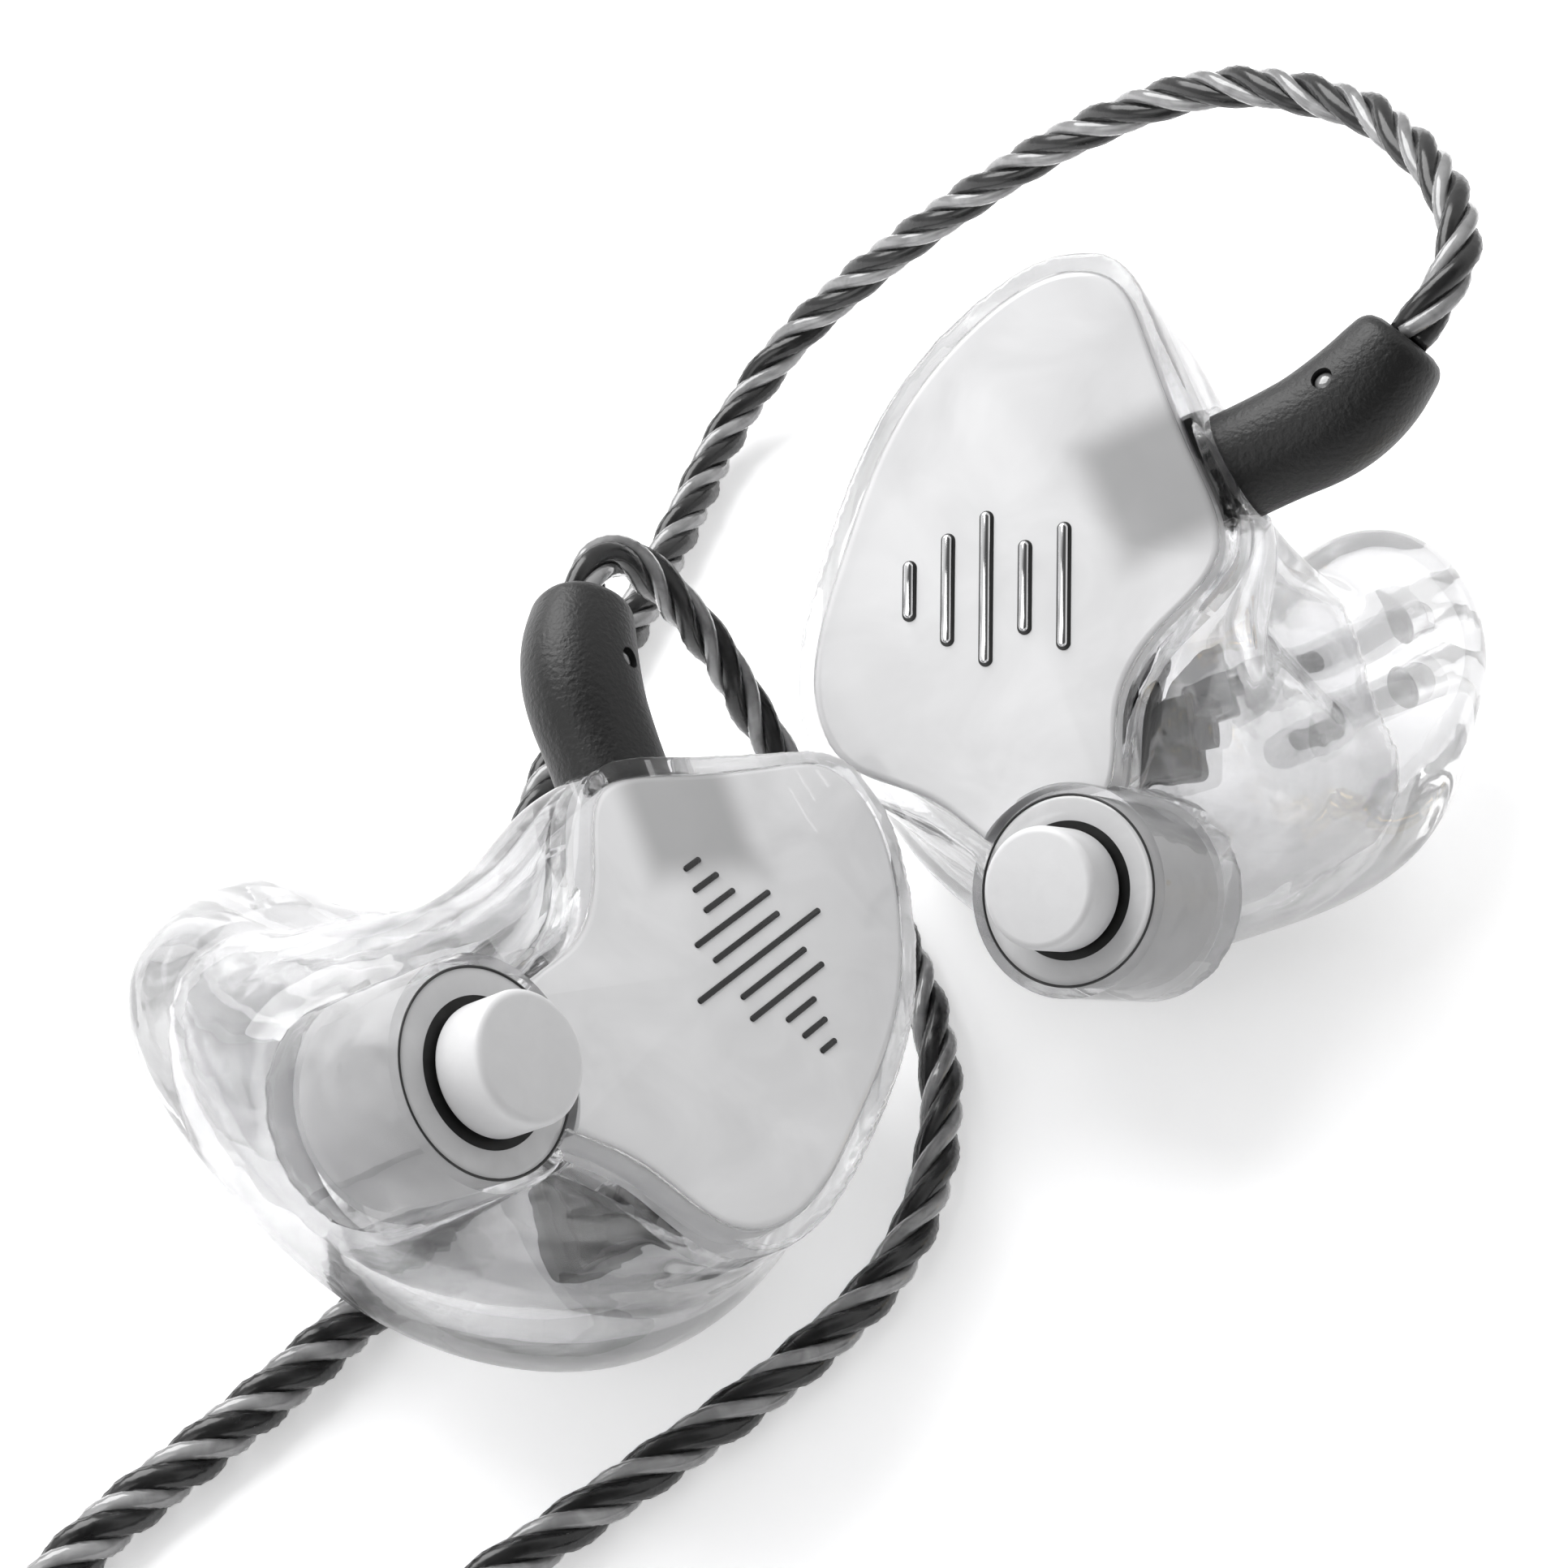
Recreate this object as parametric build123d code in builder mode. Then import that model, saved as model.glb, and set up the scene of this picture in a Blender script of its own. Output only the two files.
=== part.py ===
from build123d import *
import math
import os

# A pair of custom-moulded in-ear monitors with their detachable twisted cable, in millimetres, +Z up.
# The two monitors lie on a table at z = 0, and the origin is put under their middle.
# Each one is drawn in its own frame: the outer face of the faceplate is z = 0, +Z points out of the
# ear, +X towards the connector side and +Y towards the helix. The left monitor mirrors the right one.

# Driving dimensions of one monitor
WALL = 1.2  # clear acrylic wall
RIM = 0.9  # clear rim outside the pearl faceplate
FACE_T = 1.4  # faceplate
BOSS = (2.6, -11.9)  # centre of the module boss on the faceplate
BOSS_R = 4.5
BOSS_RISE = 0.5  # the boss's face stands this far over the faceplate at its middle
BOSS_TILT = math.radians(12.0)  # the boss leans away from the connector side
SEAT_R = 4.0
SEAT_BORE = 2.8
SEAT_T = 6.0
CAP_R = 2.55
CAP_H = 2.6
STEM_R = 2.3

# Two-pin connector: 0.78 mm pins
CONNECTOR_AT = (8.1, 5.85, -3.4)
CONNECTOR_ANGLE = 23.0
PIN_R = 0.39
PIN_GAP = 2.0
PIN_LONG = 4.0
SOCKET = (4.8, 3.1, 5.4)  # across, through, deep
BOOT_RUNS = (3.8, 8.5, 1.9)  # straight, bend radius, straight
BOOT_END_ANGLE = 50.0

# Where the two monitors lie, and the point of the table that the origin moves to
MIDDLE = (2.685, -15.485)
RIGHT = Plane(origin=(9.6, -7.6, 18.05), x_dir=(0.9364, -0.2375, 0.2584), z_dir=(-0.3508, -0.6084, 0.7119))
LEFT = Plane(origin=(-3.0, -26.4, 14.91), x_dir=(0.6013, -0.5821, -0.5474), z_dir=(0.5763, -0.1585, 0.8017))

# Cable
CORD_D = 2.3
LANE = 2.4  # turns lie this far apart
EAR_COIL = (-18.0, -68.6)
LEFT_LANE = 11.4
RIGHT_LANE = LEFT_LANE + LANE
TRUNK_COIL = (33.4, -66.2)
TRUNK_LANES = (15.0, 12.6, 10.2)
JACK_R = 1.75

os.makedirs("parts", exist_ok=True)

# The faceplate's outline without the boss, and the ovals that the shell turns into below it
OUTLINE = [
    (2.4, 15.1), (-2.2, 12.8), (-6.1, 8.3), (-8.6, 2.4), (-9.7, -3.4), (-8.2, -6.9), (-3.6, -9.0), (1.0, -11.5),
    (4.6, -8.6), (5.2, -5.0), (7.2, -1.2), (9.7, 2.2), (8.4, 6.6), (6.0, 12.1), (4.6, 14.5),
]
# depth, centre x, centre y, half width, half height, turn, share of the oval, depth of the waist
LEVELS = [
    (0.0, 0.0, 0.0, 9.7, 13.0, 0.0, 0.0, 0.0),
    (3.0, 0.6, 0.4, 10.8, 14.1, 5.0, 0.33, 0.0),
    (5.2, 0.8, 0.4, 11.0, 14.0, 7.0, 0.58, 0.8),
    (7.0, 0.9, 0.2, 11.3, 13.8, 10.0, 0.8, 3.6),
    (10.0, 1.0, -1.4, 11.8, 13.2, 19.0, 1.0, 4.4),
    (13.5, 4.4, -4.1, 9.8, 9.7, 24.0, 1.0, 2.8),
    (17.0, 9.2, -4.0, 6.6, 7.4, 10.0, 1.0, 1.0),
    (20.5, 11.0, -1.0, 5.2, 6.8, 0.0, 1.0, 0.0),
    (23.0, 11.9, 0.0, 3.9, 5.1, 0.0, 1.0, 0.0),
    (24.4, 12.2, 0.3, 2.4, 3.3, 0.0, 1.0, 0.0),
]
WAIST = (18.0, 32.0)  # direction and spread of the hollow between the connector and the canal, in degrees
CAVITY_DEPTHS = (FACE_T, 4.0, 7.5, 11.0, 14.0, 15.8)


def level(depth):
    """The shell's oval at any depth, between the listed ones."""
    for low, high in zip(LEVELS, LEVELS[1:]):
        if depth <= high[0]:
            t = (depth - low[0]) / (high[0] - low[0])
            return [a + (b - a) * t for a, b in zip(low, high)]
    return list(LEVELS[-1])


def section(depth, inset=0.0):
    """The shell's outline at a depth, moved inwards by inset."""
    _, cx, cy, half_w, half_h, turn, share, waist = level(depth)
    turn = math.radians(turn)
    points = []
    for x, y in OUTLINE:
        way = math.atan2(y / LEVELS[0][4], x / LEVELS[0][3])
        t = way - turn
        u, v = half_w * math.cos(t), half_h * math.sin(t)
        px = (1 - share) * x + share * (cx + u * math.cos(turn) - v * math.sin(turn))
        py = (1 - share) * y + share * (cy + u * math.sin(turn) + v * math.cos(turn))
        mid_x, mid_y = share * cx, share * cy
        far = math.hypot(px - mid_x, py - mid_y)
        hollow = waist * math.exp(-((math.degrees(way) - WAIST[0]) / WAIST[1]) ** 2)
        keep = 1 - (inset + hollow) / far
        points.append((mid_x + (px - mid_x) * keep, mid_y + (py - mid_y) * keep))
    return points


def outline_face(depth, inset=0.0):
    """A closed smooth face of the shell's section, for the sketch that is open."""
    with BuildLine() as rim:
        Spline(*section(depth, inset), periodic=True)
    make_face(rim.edges())


def heading(angle):
    """The unit direction at an angle in the faceplate's plane."""
    return Vector(math.cos(math.radians(angle)), math.sin(math.radians(angle)), 0)


def along(angle, start=CONNECTOR_AT, far=0.0):
    """A plane across the direction at angle, far along it, with its x axis in the faceplate's plane."""
    way = heading(angle)
    return Plane(origin=Vector(*start) + way * far, x_dir=heading(angle + 90), z_dir=way)


MOUTH = along(CONNECTOR_ANGLE)  # the socket's outer face
BOSS_PLANE = Plane(
    origin=(*BOSS, BOSS_RISE), x_dir=(math.cos(BOSS_TILT), 0, math.sin(BOSS_TILT)),
    z_dir=(-math.sin(BOSS_TILT), 0, math.cos(BOSS_TILT)))
NOZZLE_AT = Vector(8.0, -3.6, -13.0)
NOZZLE_END = Vector(12.2, 0.3, -24.4)
NOZZLE = Plane(origin=NOZZLE_AT, x_dir=(0, 1, 0), z_dir=(NOZZLE_END - NOZZLE_AT).normalized())
BORES = [(-1.45, 0.0), (1.45, 0.0)]
BORE_R = 1.05
TUBE_R = 1.0
TUBE_HOLE = 0.55
TUBE_LONG = 10.6


def save(part, node, side=None):
    """Label one finished piece, put it where its monitor lies, and write it."""
    if side == "left":
        part = mirror(part, about=Plane.YZ)
    if side:
        part = (RIGHT if side == "right" else LEFT).location * part
    part = Pos(-MIDDLE[0], -MIDDLE[1], 0) * part
    part.label = node if side is None else f"{side}_{node}"
    export_step(part, f"parts/{part.label}.step")


def mouth_block(width, height, deep):
    """A block behind the socket's mouth, for the part that is open."""
    with BuildSketch(MOUTH) as block:
        Rectangle(width, height)
    extrude(block.sketch, amount=-deep)


# ---------------------------------------------------------------- shell, faceplate and module

with BuildPart() as shell:
    for row in LEVELS:
        with BuildSketch(Plane.XY.offset(-row[0])):
            outline_face(row[0])
    loft()
    with BuildSketch(BOSS_PLANE):
        Circle(BOSS_R)
    extrude(amount=-(SEAT_T + 1.6))
    for depth in CAVITY_DEPTHS:
        with BuildSketch(Plane.XY.offset(-depth)):
            outline_face(depth, WALL + (RIM if depth == FACE_T else 0.2))
    loft(mode=Mode.SUBTRACT)
    with BuildSketch(Plane.XY):
        outline_face(0.0, RIM)
    extrude(amount=-FACE_T, mode=Mode.SUBTRACT)
    with BuildSketch(BOSS_PLANE):
        Circle(BOSS_R)
    extrude(amount=-(SEAT_T + 1.2))
    with BuildSketch(BOSS_PLANE):
        Circle(SEAT_R)
    extrude(amount=-SEAT_T, mode=Mode.SUBTRACT)
    mouth_block(SOCKET[0] + 2 * WALL, SOCKET[1] + 0.5, WALL)
    with BuildSketch(MOUTH):
        Rectangle(SOCKET[0], SOCKET[1])
    extrude(amount=-SOCKET[2] - 1.0, mode=Mode.SUBTRACT)
    with BuildSketch(MOUTH):
        Circle(2.7)
    extrude(amount=4.0, mode=Mode.SUBTRACT)
    with BuildSketch(NOZZLE):
        with Locations(BORES):
            Circle(BORE_R)
    extrude(amount=16.0, mode=Mode.SUBTRACT)

with BuildPart() as faceplate:
    with BuildSketch(Plane.XY):
        outline_face(0.0, RIM)
    extrude(amount=-FACE_T)
    with BuildSketch(BOSS_PLANE.offset(FACE_T)):
        Circle(BOSS_R)
    extrude(amount=-SEAT_T, mode=Mode.SUBTRACT)

with BuildPart() as module_seat:
    with BuildSketch(BOSS_PLANE):
        Circle(SEAT_R)
    extrude(amount=-SEAT_T)
    with BuildSketch(BOSS_PLANE):
        Circle(SEAT_BORE)
    extrude(amount=-(SEAT_T - 1.0), mode=Mode.SUBTRACT)
    with BuildSketch(BOSS_PLANE.offset(-SEAT_T)):
        Circle(0.8)
    extrude(amount=2.0, mode=Mode.SUBTRACT)

with BuildPart() as module_body:
    with BuildSketch(BOSS_PLANE.offset(-(SEAT_T - 1.2))):
        Circle(STEM_R)
    extrude(amount=SEAT_T - 1.2 + 1.2)
    with BuildSketch(BOSS_PLANE.offset(-2.4)):
        Circle(STEM_R)
        Circle(STEM_R - 0.35, mode=Mode.SUBTRACT)
    extrude(amount=0.8, mode=Mode.SUBTRACT)
    with BuildSketch(BOSS_PLANE.offset(-SEAT_T)):
        Circle(0.7)
    extrude(amount=SEAT_T + 0.4, mode=Mode.SUBTRACT)

with BuildPart() as module_o_ring:
    groove = BOSS_PLANE.offset(-2.0).origin
    with BuildSketch(Plane(origin=groove, x_dir=BOSS_PLANE.x_dir, z_dir=(0, -1, 0))):
        with Locations((STEM_R + 0.05, 0)):
            Circle(0.38)
    revolve(axis=Axis(BOSS_PLANE.origin, BOSS_PLANE.z_dir))

with BuildPart() as module_cap:
    with BuildSketch(BOSS_PLANE.offset(0.05)):
        Circle(CAP_R)
    extrude(amount=CAP_H - 0.05)
    fillet(module_cap.edges().filter_by(GeomType.CIRCLE).sort_by(Axis.Z)[-1], 0.35)
    with BuildSketch(BOSS_PLANE.offset(0.05)):
        Circle(STEM_R)
    extrude(amount=1.15, mode=Mode.SUBTRACT)

# ---------------------------------------------------------------- socket and what is inside

with BuildPart() as two_pin_socket:
    mouth_block(*SOCKET)
    with BuildSketch(MOUTH):
        with GridLocations(PIN_GAP, 0, 2, 1):
            Circle(PIN_R + 0.03)
    extrude(amount=-1.0, mode=Mode.SUBTRACT)
    with BuildSketch(MOUTH.offset(-1.0)):
        with GridLocations(PIN_GAP, 0, 2, 1):
            Circle(0.7)
    extrude(amount=-SOCKET[2], mode=Mode.SUBTRACT)

with BuildPart() as socket_contacts:
    with BuildSketch(MOUTH.offset(-1.0)):
        with GridLocations(PIN_GAP, 0, 2, 1):
            Circle(0.7)
            Circle(PIN_R + 0.03, mode=Mode.SUBTRACT)
    extrude(amount=-3.4)
    with BuildSketch(MOUTH.offset(-4.4)):
        with GridLocations(PIN_GAP, 0, 2, 1):
            Circle(0.7)
    extrude(amount=-0.4)
    with BuildSketch(MOUTH.offset(-4.8)):
        with GridLocations(PIN_GAP, 0, 2, 1):
            Rectangle(0.5, 0.9)
    extrude(amount=-1.5)


def driver(at, turn, size, spout):
    """A balanced armature driver: a rounded can with a seam lip and a sound spout on one end."""
    frame = Plane(origin=at, x_dir=heading(turn), z_dir=(0, 0, 1))
    with BuildPart() as can:
        with BuildSketch(frame.offset(-size[2] / 2)):
            RectangleRounded(size[0], size[1], 0.35)
        extrude(amount=size[2])
        with BuildSketch(frame.offset(-0.12)):
            RectangleRounded(size[0] + 0.3, size[1] + 0.3, 0.4)
        extrude(amount=0.24)
        end = frame.from_local_coords((size[0] / 2, 0, 0))
        face = Plane(origin=end, x_dir=frame.y_dir, z_dir=frame.x_dir)
        with BuildSketch(face):
            Circle(spout)
        extrude(amount=0.9)
        with BuildSketch(face.offset(0.9)):
            Circle(spout - 0.3)
        extrude(amount=-0.7, mode=Mode.SUBTRACT)
    return can.part


woofer = driver((-3.2, -1.6, -8.6), 25, (7.4, 5.4, 4.0), 0.9)
mid_driver = driver((3.0, -5.0, -7.2), 8, (5.6, 4.0, 2.9), 0.8)
treble_driver = driver((4.2, -2.0, -12.0), 12, (4.6, 2.8, 2.2), 0.6)

BOARD = Plane(origin=(-1.0, 7.0, -5.6), x_dir=heading(28), z_dir=(0, 0, 1))
with BuildPart() as crossover_board:
    with BuildSketch(BOARD):
        RectangleRounded(6.6, 4.6, 0.5)
    extrude(amount=0.7)
    with BuildSketch(BOARD.offset(0.7)):
        with GridLocations(2.1, 2.2, 3, 2):
            Rectangle(1.2, 0.8)
    extrude(amount=0.6)

with BuildPart() as sound_tubes:
    with BuildSketch(NOZZLE.offset(0.6)):
        with Locations(BORES):
            Circle(TUBE_R)
            Circle(TUBE_HOLE, mode=Mode.SUBTRACT)
    extrude(amount=TUBE_LONG)

with BuildPart() as dampers:
    with BuildSketch(NOZZLE.offset(2.2)):
        with Locations(BORES):
            Circle(TUBE_HOLE)
    extrude(amount=1.6)


def wire(*points):
    """One fine insulated wire along straight runs with rounded corners."""
    with BuildPart() as strand:
        with BuildLine() as run:
            FilletPolyline(*points, radius=0.5)
        with BuildSketch(Plane(origin=run.line @ 0, z_dir=run.line % 0)):
            Circle(0.2)
        sweep()
    return strand.part


SOLDER = [MOUTH.from_local_coords((x, 0, -6.5)) for x in (-PIN_GAP / 2, PIN_GAP / 2)]
hookup_wires = Compound(children=[
    wire(
        SOLDER[0], SOLDER[0] + Vector(-1.2, -0.5, 0), (0.8, 1.6, -3.4), (-1.6, 1.2, -4.4), (-2.2, 0.4, -6.35)),
    wire(SOLDER[1], SOLDER[1] + Vector(-1.0, -0.2, 0.1), (0.2, 5.4, -3.0), (-0.6, 6.0, -4.1)),
])

# ---------------------------------------------------------------- emblems

with BuildPart() as bar_emblem:  # five bars of a level meter
    for k, tall in enumerate((2.4, 4.6, 6.4, 3.8, 5.2)):
        with BuildSketch(Plane.XY):
            with Locations((-4.6 + 1.7 * k, 0.9)):
                SlotOverall(tall, 0.42, rotation=90)
        extrude(amount=0.1)

with BuildPart() as wave_emblem:  # a sound burst of fine lines
    for k in range(11):
        swell = 1.0 + 7.6 * math.exp(-(((k - 5) / 2.6) ** 2)) * (1.0 if k % 2 else 0.55)
        with BuildSketch(Plane.XY):
            with Locations((-4.6 + 0.9 * k, 3.6)):
                SlotOverall(swell, 0.26, rotation=90)
        extrude(amount=0.1)

# ---------------------------------------------------------------- connector

STRAIGHT, BEND_R, TIP = BOOT_RUNS
CURVE = math.radians(BOOT_END_ANGLE - CONNECTOR_ANGLE)


def boot_station(far):
    """A plane across the boot at a distance along its centre line."""
    bend = min(max(far - STRAIGHT, 0) / BEND_R, CURVE)
    angle = CONNECTOR_ANGLE + math.degrees(bend)
    run = heading(CONNECTOR_ANGLE) * min(far, STRAIGHT)
    turn = (heading(CONNECTOR_ANGLE + 90) - heading(angle + 90)) * BEND_R
    rest = max(far - STRAIGHT - BEND_R * CURVE, 0)
    return along(angle, Vector(*CONNECTOR_AT) + run + turn, rest)


BOOT_LONG = STRAIGHT + BEND_R * CURVE + TIP
# share of the length, width, thickness
BOOT_FORM = [(0.0, 4.7, 4.3), (0.3, 4.75, 4.35), (0.55, 5.0, 4.5), (0.8, 4.6, 4.3), (1.0, 3.8, 3.8)]
DIMPLE = Plane(origin=(12.75, 9.45, -1.0), z_dir=(-0.25, 0.42, 0.87))

with BuildPart() as boot:
    for share, width, thick in BOOT_FORM:
        with BuildSketch(boot_station(share * BOOT_LONG)):
            Ellipse(width / 2, thick / 2)
    loft()
    with BuildSketch(MOUTH):
        RectangleRounded(3.4, 2.0, 0.3)
    extrude(amount=2.4, mode=Mode.SUBTRACT)
    with BuildSketch(DIMPLE):
        Circle(0.47)
    extrude(amount=-1.25, mode=Mode.SUBTRACT)

with BuildPart() as side_marker:
    with BuildSketch(DIMPLE.offset(-1.25)):
        Circle(0.47)
    extrude(amount=0.25)

with BuildPart() as pin_insert:
    with BuildSketch(MOUTH):
        RectangleRounded(3.4, 2.0, 0.3)
        with GridLocations(PIN_GAP, 0, 2, 1):
            Circle(PIN_R, mode=Mode.SUBTRACT)
    extrude(amount=2.4)

with BuildPart() as pins:
    with BuildSketch(MOUTH.offset(2.4)):
        with GridLocations(PIN_GAP, 0, 2, 1):
            Circle(PIN_R)
    extrude(amount=-(2.4 + PIN_LONG))

# ---------------------------------------------------------------- write both monitors

LOCAL_PIECES = {
    "shell": shell, "faceplate": faceplate, "module_seat": module_seat, "module_body": module_body,
    "module_o_ring": module_o_ring, "module_cap": module_cap, "two_pin_socket": two_pin_socket,
    "socket_contacts": socket_contacts, "crossover_board": crossover_board, "sound_tubes": sound_tubes,
    "dampers": dampers, "connector_boot": boot, "side_marker": side_marker, "pin_insert": pin_insert,
    "connector_pins": pins,
}
for side in ("right", "left"):
    for node, builder in LOCAL_PIECES.items():
        save(builder.part, node, side)
    save(woofer, "woofer_driver", side)
    save(mid_driver, "mid_driver", side)
    save(treble_driver, "treble_driver", side)
    save(hookup_wires, "hookup_wires", side)
save(bar_emblem.part, "emblem", "right")
save(wave_emblem.part, "emblem", "left")

# ---------------------------------------------------------------- cable

# Hand-laid route of each ear cable, connector first, down to its ring of put-away turns
RIGHT_LEAD = [(25.91, -0.89, 27.05), (27.4, 0.15, 28.65), (28.5, 2.9, 29.6), (28.0, 8.0, 29.3), (26.9, 11.25, 28.65)]
RIGHT_ROUTE = [
    (26.9, 11.25, 28.65), (25.8, 14.5, 28.0), (20.5, 20.5, 25.5), (14.5, 24.0, 20.5), (8.5, 26.5, 14.0),
    (3.6, 28.4, 7.9), (0.0, 28.6, 3.6), (-3.0, 24.4, 1.3), (-5.0, 17.5, 1.2), (-7.0, 11.0, 1.2), (-9.5, 4.0, 1.2),
    (-11.6, -3.5, 1.2), (-12.1, -11.5, 1.2), (-12.0, -19.5, 1.2), (-14.2, -28.0, 1.2), (-20.6, -36.0, 1.2),
    (-28.1, -43.6, 1.2), (-31.2, -51.5, 1.2), (-31.8, -60.0, 1.2), (-31.8, -68.6, 1.2),
]
RIGHT_TAIL = [(-18.0, -82.4, 7.58), (-10.0, -82.4, 8.31), (6.5, -82.4, 3.45), (11.0, -82.4, 2.8)]
LEFT_LEAD = [(-8.41, -7.66, 18.26), (-8.31, -5.1, 18.7), (-6.4, -2.9, 16.9), (-3.2, -2.3, 11.2), (-2.05, -2.65, 8.75)]
LEFT_ROUTE = [
    (-2.05, -2.65, 8.75), (-0.9, -3.0, 6.3), (2.0, -5.2, 2.3), (4.9, -10.0, 1.2), (6.6, -15.8, 1.2),
    (6.9, -22.0, 1.2), (5.0, -29.2, 1.2), (-0.2, -35.0, 1.2), (-7.0, -40.6, 1.2), (-14.0, -46.5, 1.2),
    (-19.4, -54.75, 1.2), (-25.48, -60.0, 1.2),
]
LEFT_TAIL = [(-18.0, -80.0, 9.06), (-10.0, -80.0, 8.31), (6.5, -80.0, 3.45), (11.0, -80.0, 2.8)]
TRUNK_LEAD = [(22.0, -81.2, 2.8), (27.5, -81.2, 1.6), (33.4, -81.2, 1.2)]
TRUNK_TAIL = [(43.6, -66.2, 9.0), (44.0, -60.5, 10.3), (44.4, -54.5, 10.2), (44.4, -47.5, 5.6), (44.4, -41.0, 4.2)]


def tube(route, wide=CORD_D):
    """A cable's envelope: straight runs joined by tangent arcs, each as wide as its runs allow."""
    stops = [Vector(*p) for p in route]
    radii = []
    for a, b, c in zip(stops, stops[1:], stops[2:]):
        half = math.radians((b - a).get_angle(c - b)) / 2
        radii.append(round(0.45 * min((b - a).length, (c - b).length) / math.tan(half), 2))
    with BuildPart() as cable:
        with BuildLine() as run:
            FilletPolyline(*stops, radius=radii)
        with BuildSketch(Plane(origin=run.line @ 0, z_dir=run.line % 0)):
            Circle(wide / 2)
        sweep()
    length = sum(edge.length for edge in run.edges())
    share = cable.part.volume / (length * math.pi * wide**2 / 4)
    print(f"run {length:.1f} mm, radii {radii}, volume over section x length {share:.3f}")
    return cable.part


def ring(at, inner, outer, high):
    """The closed envelope of put-away turns lying on the table."""
    with BuildPart() as turns:
        with BuildSketch(Plane.XZ):
            with Locations(((inner + outer) / 2, high / 2 + 0.02)):
                RectangleRounded(outer - inner, high, 1.1)
        revolve(axis=Axis.Z)
    return Pos(at[0], at[1], 0) * turns.part


for node, route in {
    "right_lead_tube": RIGHT_LEAD, "right_cable_tube": RIGHT_ROUTE, "right_tail_tube": RIGHT_TAIL,
    "left_lead_tube": LEFT_LEAD, "left_cable_tube": LEFT_ROUTE, "left_tail_tube": LEFT_TAIL,
    "trunk_lead_tube": TRUNK_LEAD, "trunk_tail_tube": TRUNK_TAIL,
}.items():
    save(tube(route), node)
save(ring(EAR_COIL, LEFT_LANE - LANE / 2, LEFT_LANE + LANE / 2, 10.2), "left_cable_coil")
save(ring(EAR_COIL, RIGHT_LANE - LANE / 2, RIGHT_LANE + LANE / 2, 8.7), "right_cable_coil")
save(ring(TRUNK_COIL, TRUNK_LANES[-1] - LANE / 2, TRUNK_LANES[0] + LANE / 2, 10.1), "trunk_coil")

# ---------------------------------------------------------------- splitter, slider and plug

PAIR_Y = -81.2
PAIR_GAP = 2.4
with BuildPart() as splitter:  # a waisted barrel
    for x, wide, thick in ((11.0, 6.4, 5.0), (12.2, 7.4, 5.5), (17.5, 6.4, 5.2), (20.8, 5.6, 5.0), (22.0, 4.4, 4.4)):
        with BuildSketch(Plane(origin=(x, PAIR_Y, 2.8), x_dir=(0, 1, 0), z_dir=(1, 0, 0))):
            Ellipse(wide / 2, thick / 2)
    loft()
save(splitter.part, "y_splitter")

SLIDE_DIR = Vector(16.5, 0, -4.86).normalized()
SLIDER = Plane(origin=(-6.0, PAIR_Y, 7.132), x_dir=(0, 1, 0), z_dir=SLIDE_DIR)
with BuildPart() as chin_slider:
    with BuildSketch(SLIDER):
        RectangleRounded(6.6, 4.4, 1.6)
    extrude(amount=5.5)
    ends = chin_slider.faces().sort_by(Axis.X)
    fillet(ends[0].edges() + ends[-1].edges(), 0.5)
    with BuildSketch(SLIDER):
        SlotCenterToCenter(PAIR_GAP, CORD_D + 0.16)
    extrude(amount=5.5, mode=Mode.SUBTRACT)
save(chin_slider.part, "chin_slider")

# The plug lies along +Y: sleeve against sleeve, 3.5 mm three-contact jack
PLUG = Plane(origin=(44.4, -41.0, 4.2), x_dir=(1, 0, 0), z_dir=(0, 1, 0))
JACK_AT = 22.0  # from the cable's entry to the barrel's face
RINGS = {"plug_sleeve": (0.0, 8.3), "plug_ring": (9.0, 10.5), "plug_tip": (11.2, 14.0)}

with BuildPart() as plug_relief:
    with BuildSketch(PLUG):
        Circle(1.9)
    with BuildSketch(PLUG.offset(7.0)):
        Circle(2.6)
    loft()
    for k in range(4):
        with BuildSketch(PLUG.offset(1.4 + 1.4 * k)):
            Circle(4.0)
            Circle(1.3 + 0.08 * k, mode=Mode.SUBTRACT)
        extrude(amount=0.6, mode=Mode.SUBTRACT)

with BuildPart() as plug_barrel:
    with BuildSketch(PLUG.offset(7.0)):
        Circle(4.0)
    extrude(amount=JACK_AT - 7.0)
    chamfer(plug_barrel.edges().filter_by(GeomType.CIRCLE), 0.5)
    with BuildSketch(PLUG.offset(11.0)):
        Circle(4.1)
        Circle(3.75, mode=Mode.SUBTRACT)
    extrude(amount=0.8, mode=Mode.SUBTRACT)

with BuildPart() as plug_sleeve:
    with BuildSketch(PLUG.offset(JACK_AT)):
        Circle(2.7)
    extrude(amount=0.6)
    with BuildSketch(PLUG.offset(JACK_AT)):
        Circle(JACK_R)
        Circle(1.1, mode=Mode.SUBTRACT)
    extrude(amount=RINGS["plug_sleeve"][1])
    with BuildSketch(PLUG.offset(JACK_AT)):
        Circle(1.1)
    extrude(amount=0.6, mode=Mode.SUBTRACT)

with BuildPart() as plug_ring:
    with BuildSketch(PLUG.offset(JACK_AT + RINGS["plug_ring"][0])):
        Circle(JACK_R)
        Circle(1.1, mode=Mode.SUBTRACT)
    extrude(amount=RINGS["plug_ring"][1] - RINGS["plug_ring"][0])

with BuildPart() as plug_tip:
    for far, wide in ((11.2, 1.45), (11.7, 1.2), (12.3, 1.7), (13.2, 1.35), (14.0, 0.35)):
        with BuildSketch(PLUG.offset(JACK_AT + far)):
            Circle(wide)
    loft(ruled=True)

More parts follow.
